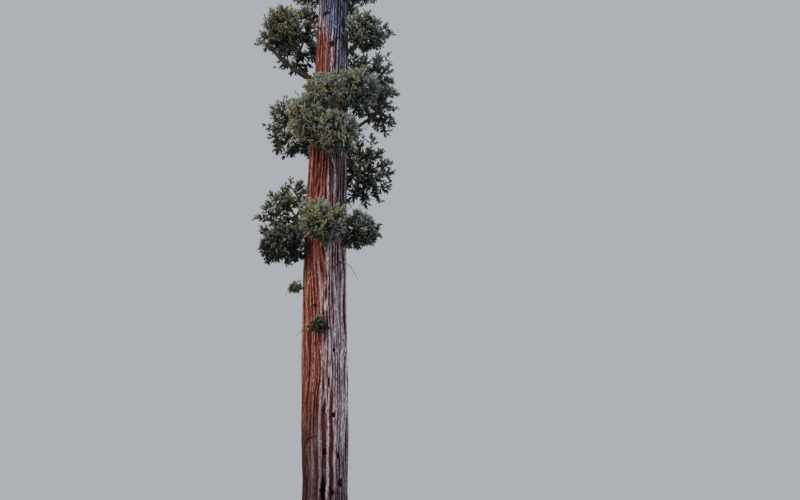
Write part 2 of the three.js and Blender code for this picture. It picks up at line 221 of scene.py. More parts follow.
# The limbs. A bough starts inside the trunk and enters its mass at shares of its spread and depth from
# the mass's middle, those of BOUGH_ENTRY or ENTRIES. A mass with no bough has a stem from the trunk.
BOUGH_SIDES = 14
BOUGH_RINGS = 26
BOUGH_ROUGHNESS = 0.09
BOUGH_GIRTH = 0.085
BOUGH_GIRTH_LEAST = 0.07
BOUGH_TIP = 0.5
COLLAR = 0.7
COLLAR_LENGTH = 0.16
ROOT_DEPTH = 0.6
BEND_OUT = 0.55
BEND_UP = 0.25
BOUGH_ENTRY = (-0.42, -0.3)
STEM_RADIUS = 0.055
STEM_GIRTH = 0.034
STEM_TIP = 0.5
DEAD_TIP = 0.3
DEAD_RINGS = 24
DEAD_SIDES = 8
DEAD_ROUGHNESS = 0.08
FORK_SHARES = (0.6, 0.2)
FORK_LENGTH = 0.25
FORK_VARIETY = 0.35
FORK_LEAN = 0.8
FORK_FALL = 0.3
FORK_BEND = 0.08
BRANCH_FORKS = (9, 13, 17, 20)
SNAG_FORKS = (12, 18)

# The wood inside a mass: twigs towards its bulges, and a shoot to each tuft. A mass that spreads
# further than the first number has the second number of twigs, and small masses have thinner ones.
TWIGS = [(2.0, 5), (0.7, 4), (0.0, 3)]
TWIG_REACH = 0.9
TWIG_SWAY = 0.12
TWIG_RADII = (0.085, 0.03)
TWIG_ROUGHNESS = 0.06
FULL_SPREAD = 1.5
GIRTHS = (0.5, 1.3)
SHOOT_LEAVES = (0.15, 0.5)
SHOOT_BEND = 0.45
SHOOT_SWEEP = 0.18
SHOOT_SAG = 0.06
SHOOT_RADII = (0.034, 0.014)

# The foliage. Tufts sit where a mass's core bulges towards its twigs and its lobes, in three layers:
# inside, on the surface and the lace that stands out of it. Lobes that swell less than OPEN_LOBES are
# nearly bare.
CORE_SHARE = 0.78
CORE_BULGE = 0.26
DICE_PER_MASS = 16
AREA_POWER = 1.6
LOBES_PER_AREA = 0.36
FEWEST = 6
LOBE_BULGE = 0.16
LOBE_VARIETY = 0.2
OPEN_LOBES = -0.7
OPEN_KEPT = 0.35
INNER_REACH = (0.5, 0.75)
OUTER_REACH = (0.88, 1.03)
LACE_REACH = (1.06, 1.24)
LACE_SHARE = 0.32
LACE_KEPT = 0.5
LACE_LENGTH = 0.7
TUFT_CLEARANCE = 0.15
SPRAY_CLEARANCE = 0.05

# A tuft is a plume: sprays that fan out from the end of its shoot, in shares of a spray's length.
SPRAYS_PER_TUFT = 11
FAN_WIDTH = 0.85
PLUME_TIP = 0.25
PLUME_LENGTH = 1.1
PLUME_LIFT = 0.45
PLUME_TILT = 0.3
START_JITTER = 0.05
TILT_JITTER = 0.15
SPIN_JITTER = 0.35
SPRAY_LENGTHS = (0.7, 1.25)

# A spray one long: two cords make its bent middle, and side cords leave it on both sides.
SPRAY_KINDS = 6
SPRAY_DROOP = (-0.15, 0.12)
SPRAY_SWAY = (0.07, 4)
MIDDLE_CORDS = ((0, 0.6), (0.5, 1))
SIDE_CORDS = 8
SIDE_FROM = 0.12
SIDE_SPAN = 0.66
SIDE_ANGLES = (30, 60)
SIDE_LENGTH = 0.52
LONGEST_SIDE = 0.4
SIDE_VARIETY = (0.8, 1.2)
SIDE_RISE = (-0.35, 0.6)
CORD_RADIUS = 0.105

# Painted light and shade on the foliage: what makes a spray or a cord painted as well lit, which picks
# its painted shade: the way it points, its place and chance.
UPWARD_LIGHT = 0.5
OUTWARD_LIGHT = 0.45
HIGHER_LIGHT = 0.3
INSIDE_DARKER = 1.2
SPRAY_CHANCE = 0.2
TUFT_CHANCE = 0.18
CORD_CHANCE = 0.3
TIP_LIGHT = 1.1
TIP_FROM = 0.6
SHADE_ENDS = [-0.15, 0.3, 0.8]

# A tuft's kind of leaf goes by its hue, from 0 at the warmest to 1. The hue's parts are chance for the
# tuft, chance for the spray, and how far the tuft faces away from SUN_SIDE, which makes the side facing
# the sun warmer and the shaded side bluer, partly as sun and shade leaves and partly as painted sunlight
# and sky shade. Some masses are cooler.
HUE_PARTS = (0.4, 0.25, 0.35)
HUE_ENDS = [0.43, 0.62]
SUN_SIDE = 222
COOL_SHIFT = 0.1
COOL_MASSES = {
    "mid_top", "mid_right", "mid_low_right", "mid_far_right", "low_right", "low_left", "high_right",
}

# The share of tufts that are dead and brown, in some masses and in the rest. They are short, and sit in
# a mass's lower part. A few cords of any tuft are dead.
BROWN_SHARES = {"mid_top": 0.4, "mid_left": 0.14, "mid_low_right": 0.16}
DEAD_TUFTS = 0.012
BROWN_BELOW = 0.3
BROWN_LENGTH = 0.75
DEAD_CORDS = 0.015

# How masses are leaved: those whose place is known, the others, and the sprigs.
Leafing = namedtuple("Leafing", "tufts_per_area inner_share spray_length bulge")
NEAR = Leafing(1.75, 0.2, 0.38, CORE_BULGE)
FAR = Leafing(0.6, 0.22, 0.54, CORE_BULGE)
SPRIG = Leafing(4.0, 0.1, 0.3, 0.9)

# The masses whose place is known. The height where a bough leaves the trunk is "leaves", and "light" is
# how much lighter the tints are, as painted light where above 0 and painted shade where below.
Mass = namedtuple("Mass", "name height azimuth out spread depth leaves density light")
KNOWN = [
    Mass("low_front", 24.3, 272, 4.0, 2.05, 1.85, 23.2, 1.0, 0.05),
    Mass("low_left", 23.1, 200, 3.5, 2.15, 1.6, 22.1, 1.05, -0.8),
    Mass("low_right", 24.2, 328, 3.3, 1.65, 1.75, 23.0, 1.1, -0.3),
    Mass("mid_left", 32.8, 247, 3.7, 1.75, 2.15, 31.0, 1.0, 0.15),
    Mass("mid_top", 35.2, 268, 3.7, 1.9, 1.6, 33.8, 1.2, 0.45),
    Mass("mid_right", 35.5, 306, 3.95, 1.85, 1.9, 33.6, 0.9, 0.0),
    Mass("mid_low_right", 31.6, 286, 4.0, 1.75, 1.9, 30.2, 1.15, -0.05),
    Mass("mid_far_right", 35.4, 8, 4.2, 1.6, 2.6, 33.0, 0.5, -0.4),
    Mass("high_left", 42.0, 184, 4.3, 2.15, 2.25, 37.4, 0.9, 0.0),
    Mass("high_right", 41.5, 345, 3.1, 1.95, 2.0, 39.7, 0.8, -0.2),
    Mass("high_front", 46.1, 330, 3.5, 2.0, 1.7, 44.7, 1.0, -0.1),
]
ENTRIES = {"high_left": (0.4, -0.7)}

# Small masses straight out of the bark, below the crown.
SPRIGS = [
    Mass("sprig_left", 19.8, 195, 2.35, 0.62, 0.4, 19.6, 1.0, -0.1),
    Mass("sprig_front", 16.5, 264, 2.35, 0.65, 0.95, 16.1, 1.0, -0.75),
]

# Dead branches: a radius, and a curve through places as azimuth, distance out from the axis and height.
# They keep their dark bark as far as BARE_FROM out from the axis, and are bare and pale beyond.
BARE_FROM = 2.4
DEAD = {
    "right": (0.075, [(284, 1.2, 20.5), (311, 2.35, 21.6), (337, 2.95, 20.25)]),
    "left": (0.08, [(226, 1.0, 31.5), (208, 2.9, 32.2), (201, 3.7, 30.6)]),
    "front": (0.08, [(268, 1.0, 30.3), (276, 2.75, 30.5), (284, 3.0, 29.2)]),
}

# How many dead twigs hang out of some masses' lower sides, and their course out, down and up again.
BARE_TWIGS = {
    "mid_left": 14, "mid_top": 12, "mid_right": 8, "mid_low_right": 18,
    "low_front": 6, "low_left": 5, "high_left": 5,
}
BARE_TURN = 110
BARE_SLOPE = (-1.2, 0.1)
BARE_START = 0.62
BARE_REACH = (0.7, 1.3)
BARE_OUT = 0.6
BARE_FALL = (0.2, 0.8)
BARE_SWAY = 0.2
BARE_BEND = 0.4
BARE_CURL = (-0.6, 0.8)
BARE_RADII = (0.038, 0.013)

# The hidden side's masses, the spiral of the upper crown above them, and the masses of the very top.
BACK = SimpleNamespace(
    name="back", count=5, lowest=26.6, step=4.0, azimuth=92, swing=40, out=4.1, spread=3.0, depth=3.1,
    below=0.75, density=0.8, light=-0.35,
)
UPPER = SimpleNamespace(
    name="upper", count=13, lowest=48.2, step=1.58, azimuth=95, spread=3.7, spread_top=2.3, flatness=0.95,
    below=0.7, density=0.95, light=0.0,
)
UPPER_ON_BOUGHS = 5
CROWN_RADIUS = 7.7
CROWN_WIDEST = 40.0
CROWN_TOP = 73.0
CROWN_BLUNTNESS = 0.75
TOP = SimpleNamespace(
    name="top", count=3, highest=70.0, step=1.1, azimuth=300, out=1.05, spread=1.55, depth=1.95,
    below=0.6, density=1.3, light=0.1,
)

# The camera stands on the ground in front of the tree and looks up.
CAMERA_PLACE = (5.72, -80.0, 3.5)
CAMERA_PITCH = 13.7
CAMERA_LENS = 46.1
CAMERA_REACH = 2000.0

# The sky, the sun, which stands on the left, and the floor.
SKY_COLOUR = (0.74, 0.80, 0.90)
SKY_STRENGTH = 0.75
SUN_COLOUR = (1.0, 0.85, 0.73)
SUN_STRENGTH = 2.6
SUN_WIDTH = 10
SUN_TILT = 55
SUN_TURN = -48
FLOOR_COLOUR = (0.72, 0.73, 0.74)
FLOOR_RADIUS = 900.0
FLOOR_DROP = 0.004
FLOOR_SIDES = 96

# The bark's colours, each pair from dark to light or from the red side to the weathered one.
RED_BODY = (0.09, 0.023, 0.018), (0.195, 0.063, 0.043)
GREY_BODY = (0.15, 0.105, 0.125), (0.27, 0.22, 0.265)
CRESTS = (0.52, 0.26, 0.18), (0.86, 0.76, 0.86)
FURROW_SIDES = (0.105, 0.015, 0.015)
# Painted shade: the near black of the furrows' bottoms.
FURROW_SHADE_BOTTOMS = (0.006, 0.003, 0.003)
# Painted sky shade: the tint that makes the bark bluer.
COOL_TINT = (0.62, 0.82, 1.12)

# The bark's noises, as their scale across and along the trunk and their detail, and the ranges over
# which one colour gives way to another, or over which the lightness goes between two.
FIBRES = (34, 4)
FLAKES = (30, 11, 2.0)
PATCHES = (7, 0.7, 3.0)
PATCH_RANGE = (0.35, 0.65)
CREST_RANGE = (0.70, 0.92)
DASH_RANGE = (0.40, 0.56)
MAROON_RANGE = (0.36, 0.66)
FURROW_SHADE_RANGE = (0.02, 0.34)
FLAKE_LIGHTNESS = (0.34, 0.66, 0.45, 1.5)
FIBRE_LIGHTNESS = (0.36, 0.64, 0.7, 1.3)


# A repeatable row of numbers from 0 to 1, the same as in the part's source.
def dice(seed):
    state = (seed * 2654435761) & 0xFFFFFFFF
    while True:
        state = (state * 1664525 + 1013904223) & 0xFFFFFFFF
        yield state / 2**32


# Smooth noise from -1 to 1 over two arrays, which repeats after a whole number of units of u.
def noise(u, v, wrap, seed):
    table = np.random.RandomState(seed).uniform(-1, 1, (wrap, NOISE_ROWS))
    i, j = np.floor(u).astype(int), np.floor(v).astype(int)
    s, t = u - i, v - j
    s, t = s * s * (3 - 2 * s), t * t * (3 - 2 * t)
    left, right = i % wrap, (i + 1) % wrap
    below, above = j % NOISE_ROWS, (j + 1) % NOISE_ROWS
    low = table[left, below] * (1 - s) + table[right, below] * s
    high = table[left, above] * (1 - s) + table[right, above] * s
    return low * (1 - t) + high * t


def unit(vectors):
    return vectors / np.maximum(np.linalg.norm(vectors, axis=-1, keepdims=True), 1e-9)


# A share that is 1 at a height and falls off smoothly above and below it.
def bell(height, middle, spread):
    return np.exp(-(((height - middle) / spread) ** 2))


# The trunk's axis at heights.
def trunk_axis(height):
    height = np.asarray(height, float)
    bow = np.where(height < SWEEP_HEIGHT, np.sin(np.pi * height / SWEEP_HEIGHT) ** 2, 0)
    return np.stack([-SWEEP * bow, 0 * height, height], axis=-1)


# How far round the trunk its ribs have swayed at heights.
def rib_sway(height):
    return RIB_SWAY * np.sin(height / RIB_SWAY_LENGTH)


# The trunk's radius at heights, towards angles in radians.
def trunk_radius(height, angle):
    height = np.clip(height, 0, LIFE_HEIGHT)
    taper = 1 - (height / LIFE_HEIGHT) ** TRUNK_TAPER_POWER
    waist = 1 - WAIST_DEPTH * bell(height, WAIST_HEIGHT, WAIST_SPREAD)
    flutes = 1 + FLUTE_DEPTH * np.cos(FLUTES * angle + height / SWEEP_HEIGHT)
    buttresses = 1 + BUTTRESS_DEPTH * np.cos(BUTTRESSES * angle + np.sin(2 * angle))
    flare = FLARE * np.exp(-height / FLARE_HEIGHT) * buttresses
    swelling = 1 - RIB_VARIETY + RIB_VARIETY * np.sin(3 * angle + height / RIB_RHYTHM)
    ribs = RIB_HEIGHT * taper * swelling * np.cos(RIBS * (angle - rib_sway(height)))
    return np.maximum(TRUNK_TIP_RADIUS, TRUNK_RADIUS * taper * waist * flutes + flare + ribs)


# The level way towards an azimuth.
def heading(azimuth):
    return np.array([math.cos(math.radians(azimuth)), math.sin(math.radians(azimuth)), 0.0])


# The point at an azimuth and a distance out from the trunk's axis, at a height.
def around(azimuth, out, height):
    return trunk_axis(height) + out * heading(azimuth)


# An object of the scene that shows some data.
def new_object(name, data):
    found = bpy.data.objects.new(name, data)
    bpy.context.scene.collection.objects.link(found)
    return found


# A mesh object from life metres, with a material for each face and named numbers on its points.
def make_mesh(name, points, faces, materials, face_materials=None, numbers=None, smooth=True):
    faces = np.asarray(faces, np.int32)
    corners = faces.shape[1]
    mesh = bpy.data.meshes.new(name)
    mesh.vertices.add(len(points))
    mesh.vertices.foreach_set("co", (np.asarray(points) * SCALE).astype(np.float32).ravel())
    mesh.loops.add(faces.size)
    mesh.loops.foreach_set("vertex_index", faces.ravel())
    mesh.polygons.add(len(faces))
    mesh.polygons.foreach_set("loop_start", np.arange(0, faces.size, corners, dtype=np.int32))
    mesh.polygons.foreach_set("use_smooth", np.full(len(faces), smooth))
    for material in materials:
        mesh.materials.append(material)
    if face_materials is not None:
        mesh.polygons.foreach_set("material_index", np.asarray(face_materials, np.int32))
    for key, values in (numbers or {}).items():
        attribute = mesh.attributes.new(key, "FLOAT", "POINT")
        attribute.data.foreach_set("value", np.asarray(values, np.float32).ravel())
    mesh.update(calc_edges=True)
    return new_object(name, mesh)


# Sets a piece on the tree: it stays with the root and stands for nodes, which are hidden.
def settle(piece, slot, *nodes):
    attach(piece, "root")
    if nodes:
        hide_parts(*nodes)


# Sets a node's sockets to values of their own.
def set_inputs(node, values):
    for key, value in values.items():
        node.inputs[key].default_value = value


# A material with its shader's own numbers set, its node tree and its shader.
def new_material(name, colour, roughness):
    material = bpy.data.materials.new(name)
    material.use_nodes = True
    shader = material.node_tree.nodes["Principled BSDF"]
    set_inputs(shader, {"Base Color": (*colour, 1), "Roughness": roughness, "Specular IOR Level": 0.2})
    return material, material.node_tree, shader


def add_node(tree, kind, **values):
    node = tree.nodes.new("ShaderNode" + kind)
    for key, value in values.items():
        setattr(node, key, value)
    return node


# A blend of two colours or sockets by a number or socket.
def mix_colours(tree, share, first, second, how="MIX"):
    node = add_node(tree, "Mix", data_type="RGBA", blend_type=how)
    for key, value in ((0, share), (6, first), (7, second)):
        if isinstance(value, bpy.types.NodeSocket):
            tree.links.new(value, node.inputs[key])
        else:
            node.inputs[key].default_value = value if key == 0 else (*value, 1)
    return node.outputs[2]


# A socket's number moved from one range to another.
def remap(tree, value, low, high, to_low=0.0, to_high=1.0):
    node = add_node(tree, "MapRange")
    set_inputs(node, {1: low, 2: high, 3: to_low, 4: to_high})
    tree.links.new(value, node.inputs[0])
    return node.outputs[0]


# Noise that is stretched along the trunk, in the model's metres.
def fibres(tree, across, along, detail=6.0):
    place = add_node(tree, "TexCoord").outputs["Object"]
    scale = add_node(tree, "Mapping")
    set_inputs(scale, {"Scale": (across, across, along)})
    tree.links.new(place, scale.inputs["Vector"])
    texture = add_node(tree, "TexNoise")
    set_inputs(texture, {"Scale": 1.0, "Detail": detail, "Roughness": 0.62})
    tree.links.new(scale.outputs["Vector"], texture.inputs["Vector"])
    return texture.outputs["Fac"]


# A grey colour from a socket's number.
def as_grey(tree, value):
    tone = add_node(tree, "CombineColor")
    for key in range(3):
        tree.links.new(value, tone.inputs[key])
    return tone.outputs[0]


# Bumps on a shader from a socket's number.
def add_bump(tree, shader, height, strength, distance):
    bump = add_node(tree, "Bump")
    set_inputs(bump, {"Strength": strength, "Distance": distance})
    tree.links.new(height, bump.inputs["Height"])
    tree.links.new(bump.outputs["Normal"], shader.inputs["Normal"])


# The trunk's bark: furrows with maroon sides and painted black shade at their bottoms, a red side and a
# weathered grey one that is painted bluer as sky shade where it is cool, pale worn crests that are broken
# into dashes, and fine fibres and flakes.
def bark_material():
    material, tree, shader = new_material("bark", (0.2, 0.07, 0.04), 0.93)
    names = ("relief", "weather", "lightness", "cool")
    stored = [add_node(tree, "Attribute", attribute_name=name) for name in names]
    relief, weather, lightness, cool = [node.outputs["Fac"] for node in stored]
    fine = fibres(tree, *FIBRES)
    flakes = fibres(tree, *FLAKES)
    patches = remap(tree, fibres(tree, *PATCHES), *PATCH_RANGE)
    red = mix_colours(tree, patches, *RED_BODY)
    grey = mix_colours(tree, patches, *GREY_BODY)
    body = mix_colours(tree, weather, red, grey)
    crest = mix_colours(tree, weather, *CRESTS)
    dashes = add_node(tree, "Math", operation="MULTIPLY")
    tree.links.new(remap(tree, relief, *CREST_RANGE), dashes.inputs[0])
    tree.links.new(remap(tree, fine, *DASH_RANGE), dashes.inputs[1])
    body = mix_colours(tree, dashes.outputs[0], body, crest)
    body = mix_colours(tree, remap(tree, relief, *MAROON_RANGE), FURROW_SIDES, body)
    # Painted shade: the furrows' bottoms turn near black.
    body = mix_colours(tree, remap(tree, relief, *FURROW_SHADE_RANGE), FURROW_SHADE_BOTTOMS, body)
    # Painted sky shade: the bark turns bluer where cool is high.
    body = mix_colours(tree, cool, body, mix_colours(tree, 1.0, body, COOL_TINT, "MULTIPLY"))
    # The lightness darkens the bark with painted shade, besides its own random tone.
    for share in (remap(tree, flakes, *FLAKE_LIGHTNESS), remap(tree, fine, *FIBRE_LIGHTNESS), lightness):
        body = mix_colours(tree, 1.0, body, as_grey(tree, share), "MULTIPLY")
    tree.links.new(body, shader.inputs["Base Color"])
    add_bump(tree, shader, flakes, 0.8, 0.02)
    return material


# A limb's bark, between two colours, with fine cracks.
def limb_material(name, dark, light, scale):
    material, tree, shader = new_material(name, light, 0.9)
    grain = fibres(tree, scale, scale * 0.45)
    colour = mix_colours(tree, remap(tree, grain, 0.35, 0.68), dark, light)
    tree.links.new(colour, shader.inputs["Base Color"])
    add_bump(tree, shader, grain, 0.5, 0.012)
    return material


BARK = bark_material()
BOUGH_BARK = limb_material("bough_bark", (0.015, 0.01, 0.011), (0.075, 0.052, 0.052), 9)
TWIG_BARK = limb_material("twig_bark", (0.035, 0.022, 0.017), (0.12, 0.075, 0.055), 14)
DEAD_WOOD = limb_material("dead_wood", (0.19, 0.15, 0.13), (0.58, 0.50, 0.42), 16)

# Plain colours that are dealt out cord by cord. A spray is of one kind, from warm to cool, or dead, and
# its cords have that kind's tints, lit and shaded copies from painted deep shade, which loses a little
# red, to painted light on the tips.
LEAF_KINDS = {"olive": (0.40, 0.41, 0.22), "grey": (0.375, 0.415, 0.345), "blue": (0.31, 0.38, 0.365)}
LEAF_SHADES = [0.08, 0.22, 0.45, 0.85]
RED_LOST = 0.11
DEAD_LEAF = (0.25, 0.18, 0.12)
LEAVES = []
for kind, colour in LEAF_KINDS.items():
    for number, shade in enumerate(LEAF_SHADES):
        red, green, blue = [shade * part for part in colour]
        tint = (red * (1 - RED_LOST * (1 - shade)), green, blue)
        LEAVES.append(new_material(f"leaf_{kind}_{number + 1}", tint, 0.6)[0])
LEAVES.append(new_material("leaf_dead", DEAD_LEAF, 0.8)[0])


# A wave that rises evenly from 0 to 1 and falls again over each whole number.
def wave(x):
    return 1 - 2 * np.abs(x - np.floor(x) - 0.5)


# One of the noises, at places in turns round the trunk and at heights.
def wobble(kind, turns, height):
    return kind.strength * noise(turns * kind.around, height / kind.length, kind.around, kind.seed)


# How far the bark stands in from the trunk's own surface, in metres, a share from furrow to crest, and
# a number from -1 to 1 that differs from ridge to ridge.
def bark_relief(height, angle):
    turned = angle - rib_sway(height)
    turns = turned / (2 * np.pi)
    first = turns * RIDGES + (wobble(DRIFT, turns, height) + wobble(FINE_DRIFT, turns, height))
    second = first + 0.5 + wobble(SLANT, turns, height)
    crest = np.maximum(wave(first), SECOND_RIDGES * wave(second))
    width = FURROW_WIDTH * (1 + wobble(WIDENING, turns, height))
    furrow = np.clip(1 - crest / width, 0, 1) ** FURROW_BLUNTNESS
    strands = wave(STRANDS_PER_RIDGE * first + wobble(STRAND_DRIFT, turns, height))
    lumps = wobble(LUMPS, turns, height) + wobble(FINE_LUMPS, turns, height)
    above = np.clip((crest - width) / (1 - width), 0, 1)
    level = 0.5 * np.clip(crest / width, 0, 1) + 0.5 * above
    level = level - STRAND_TONE * (1 - strands) + LUMP_TONE * lumps + RIB_TONE * np.cos(RIBS * turned)
    inward = FURROW_DEPTH * furrow + CREST_DEPTH * (1 - above) ** 2 + STRAND_DEPTH * (1 - strands)
    tone = noise(np.floor(first), height / TONE_LENGTH, RIDGES, TONE_SEED)
    return inward - LUMP_DEPTH * lumps, np.clip(level, 0, 1), tone


# A share that is 1 at one height and beyond it, and 0 at the other and beyond that.
def fade(height, one, nought):
    return np.clip((height - nought) / (one - nought), 0, 1)


# How far angles are from an azimuth, from -pi to pi.
def turned_from(angle, azimuth):
    return (angle - np.radians(azimuth) + np.pi) % (2 * np.pi) - np.pi


# How much of the trunk's surface belongs to a seam, from 0 to 1.
def seam_share(seam, height, angle, radius):
    along = (height - seam.low) / (seam.high - seam.low)
    azimuth = seam.azimuth_low + (seam.azimuth_high - seam.azimuth_low) * along
    turned = turned_from(angle, azimuth + SEAM_WAVE * np.sin(SEAM_RHYTHM * height + seam.low))
    ends = np.clip(np.minimum(height - seam.low, seam.high - height) / SEAM_FADE, 0, 1)
    return SEAM_SHARE * ends * np.exp(-((turned * radius / seam.half_width) ** 4))


# What the bark's material reads: the relief, how weathered it is, from 0 on the red side to 1 on the
# grey one, which starts at the crests, how light it is, with painted shade, and how blue it is painted as
# sky shade.
def bark_tones(height, angle, relief, tone):
    turned = np.degrees(angle) % 360
    window = bell(height, *WINDOW[:2])
    ends = RED_ENDS + WINDOW[2] * window + LOW_WINDOW[2] * bell(height, *LOW_WINDOW[:2])
    into_grey = np.maximum(turned - ends, RED_STARTS - turned)
    high, upper_shade, worn = [fade(height, *heights) for heights in (GREY_ABOVE, UPPER_SHADE_ABOVE, WORN_BELOW)]
    grey = np.clip(0.5 + into_grey / GREY_BAND, 0, 1)
    share = 0.5 + into_grey / WEATHER_BAND + TONE_WEATHER * tone + RELIEF_WEATHER * (relief - RELIEF_LEVEL)
    share = share + GREY_WEATHER * high + worn + WINDOW_WEATHER * window
    # Painted shade: the foot's shadow, the shade high up, the window's shadow and the side towards
    # DIM_SIDE darken the bark.
    bands = (worn, FOOT_SHADOW_DARKER), (upper_shade, UPPER_SHADE_DARKER), (window, WINDOW_SHADOW_DARKER)
    darker = sum(band * (on_red + more_on_grey * grey) for band, (on_red, more_on_grey) in bands)
    darker = darker + DIM_DARKER * np.clip(np.cos(turned_from(angle, DIM_SIDE)), 0, 1) ** 2
    # Painted sky shade: high up the bark is painted bluer, most towards COOL_SIDE and least on the back.
    facing = np.clip(COOL_REACH + np.cos(turned_from(angle, COOL_SIDE)), COOL_LEAST, 1)
    cool = (grey * upper_shade + high) * facing * np.clip(fade(height, *COOL_BELOW), COOL_LEAST, 1)
    return {
        "relief": relief + (WORN_RELIEF - relief) * WORN_EVENNESS * worn * (1 - grey),
        "weather": np.clip(share, 0, 1),
        "lightness": LIGHTNESS - darker + TONE_LIGHTNESS * tone,
        "cool": np.clip(cool, 0, 1),
    }


# The trunk with its bark, from the cut at the ground to the tip, with more rings at its marks.
def build_trunk():
    share = np.linspace(0, 1, TRUNK_RINGS + 1) ** RING_CROWDING
    near = np.linspace(-MARK_REACH, MARK_REACH, RINGS_PER_MARK)
    near_marks = [mark.height + mark.half_height * near for mark in MARKS]
    height = np.sort(np.concatenate([LIFE_HEIGHT * share, *near_marks]))
    angle = 2 * np.pi * np.arange(TRUNK_SIDES) / TRUNK_SIDES
    height, angle = np.broadcast_arrays(height[:, None], angle[None, :])
    plain = trunk_radius(height, angle)
    inward, relief, tone = bark_relief(height, angle)
    inward = inward * (LEAST_RELIEF + (1 - LEAST_RELIEF) * np.clip(plain / TRUNK_RADIUS, 0, 1))
    numbers = bark_tones(height, angle, relief, tone)
    for seam in SEAMS:
        part = seam_share(seam, height, angle, plain)
        inward = inward * (1 - part) + SEAM_DEPTH * (1 - seam.relief) * part
        for key in ("relief", "weather"):
            numbers[key] = numbers[key] * (1 - part) + getattr(seam, key) * part
    for mark in MARKS:
        turned = turned_from(angle, mark.azimuth)
        away = (turned * plain / mark.half_width) ** 2 + ((height - mark.height) / mark.half_height) ** 2
        pit = np.exp(-(away**2))
        inward = inward * (1 - pit) + mark.depth * pit
        # A mark's relief falls to 0, so it takes the furrows' painted black shade.
        numbers["relief"] = numbers["relief"] * (1 - pit)
    radius = np.maximum(plain - inward, LEAST_RADIUS * plain)
    places = trunk_axis(height)
    places[..., 0] += radius * np.cos(angle)
    places[..., 1] += radius * np.sin(angle)
    points = np.concatenate([places.reshape(-1, 3), [[0, 0, 0], trunk_axis(LIFE_HEIGHT)]])
    triangles = tube_triangles(TRUNK_SIDES, len(height))
    numbers = {key: np.append(values, [0.5, 0.5]) for key, values in numbers.items()}
    settle(make_mesh("trunk_bark", points, triangles, [BARK], numbers=numbers), "bark", "trunk")


# The triangles of a closed tube. Its points come ring after ring, and then the two that close its ends.
def tube_triangles(sides, rings):
    ring = np.arange(sides)
    after = (ring + 1) % sides
    starts = sides * np.arange(rings - 1)[:, None]
    corners = starts + ring, starts + after, starts + sides + after, starts + sides + ring
    quads = np.stack(corners, axis=-1).reshape(-1, 4)
    last = sides * (rings - 1)
    first_end = np.stack([after, ring, np.full_like(ring, sides * rings)], axis=-1)
    last_end = np.stack([last + ring, last + after, np.full_like(ring, sides * rings + 1)], axis=-1)
    return np.concatenate([quads[:, [0, 1, 2]], quads[:, [0, 2, 3]], first_end, last_end])


# Points along a curve that starts, bends and ends at three points, and the ways it runs there.
def bezier(start, bend, end, count):
    t = np.linspace(0, 1, count)[:, None]
    places = (1 - t) ** 2 * start + 2 * t * (1 - t) * bend + t**2 * end
    ways = unit(2 * (1 - t) * (bend - start) + 2 * t * (end - bend))
    return places, ways


# The same for a curve that goes through its middle point.
def arc(start, middle, end, count):
    return bezier(start, 2 * middle - 0.5 * (start + end), end, count)


# A closed tube of points and triangles along places, with a radius for each.
def tube(places, ways, radii, sides, roughness=0.0, seed=0):
    helper = UP if abs(ways[0][2]) < 0.9 else np.array([1.0, 0.0, 0.0])
    across = unit(np.cross(ways, helper))
    upward = np.cross(across, ways)
    angle = 2 * np.pi * np.arange(sides)[:, None] / sides
    rings = len(places)
    rough = 1 + roughness * np.random.RandomState(seed).uniform(-1, 1, (rings, sides))
    circle = np.cos(angle) * across[:, None] + np.sin(angle) * upward[:, None]
    points = places[:, None] + np.asarray(radii)[:, None, None] * rough[..., None] * circle
    points = np.concatenate([points.reshape(-1, 3), places[:1], places[-1:]])
    return points, tube_triangles(sides, rings)[:, [0, 2, 1]]


# A tube along a curve, whose radius goes evenly from one share of a girth to another.
def twig_tube(curve, girth, shares, sides, roughness=0.0, seed=0):
    return tube(*curve, girth * np.linspace(*shares, len(curve[0])), sides, roughness, seed)


# Many closed shapes as one set of points and triangles.
def joined(shapes):
    points, triangles, first = [], [], 0
    for some_points, some_triangles in shapes:
        points.append(some_points)
        triangles.append(some_triangles + first)
        first += len(some_points)
    return np.concatenate(points), np.concatenate(triangles)


# Radii that taper along a limb and widen to a collar at the trunk.
def tapering(radius, tip, count):
    share = np.linspace(0, 1, count)
    return radius * (1 - (1 - tip) * share + COLLAR * np.exp(-share / COLLAR_LENGTH))


# Where a limb starts inside the trunk.
def inside_trunk(azimuth, height):
    return around(azimuth, ROOT_DEPTH * trunk_radius(height, 0), height)


# The ends and the bend of a mass's bough, and its girth.
def bough_course(mass):
    girth = BOUGH_GIRTH_LEAST + BOUGH_GIRTH * mass.spread
    out, up = ENTRIES.get(mass.name, BOUGH_ENTRY)
    end = around(mass.azimuth, mass.out + out * mass.spread, mass.height + up * mass.depth)
    start = inside_trunk(mass.azimuth, mass.leaves)
    bend = start + BEND_OUT * (end - start)
    bend[2] = start[2] + BEND_UP * (end[2] - start[2])
    return start, bend, end, girth


# A bough with its bark.
def build_bough(mass, seed):
    start, bend, end, girth = bough_course(mass)
    places, ways = bezier(start, bend, end, BOUGH_RINGS)
    radii = tapering(girth, BOUGH_TIP, BOUGH_RINGS)
    points, triangles = tube(places, ways, radii, BOUGH_SIDES, BOUGH_ROUGHNESS, seed)
    name = "bough_" + mass.name
    settle(make_mesh(name + "_bark", points, triangles, [BOUGH_BARK]), "bough_bark", name)


# A dead branch: a curve through three places, with a few short forks.
def dead_branch(radius, through, seed, forks):
    places, ways = arc(*through, DEAD_RINGS)
    radii = tapering(radius, DEAD_TIP, DEAD_RINGS)
    shapes = [tube(places, ways, radii, DEAD_SIDES, DEAD_ROUGHNESS, seed)]
    roll = dice(seed)
    for number in forks:
        side = unit(np.cross(ways[number], [next(roll) - 0.5 for _ in range(3)]))
        length = FORK_LENGTH + FORK_VARIETY * next(roll)
        tip = places[number] + length * unit(side + FORK_LEAN * ways[number] - FORK_FALL * UP)
        halfway = 0.5 * (places[number] + tip) + FORK_BEND * side
        shapes.append(twig_tube(bezier(places[number], halfway, tip, 6), radii[number], FORK_SHARES, 5))
    return joined(shapes)


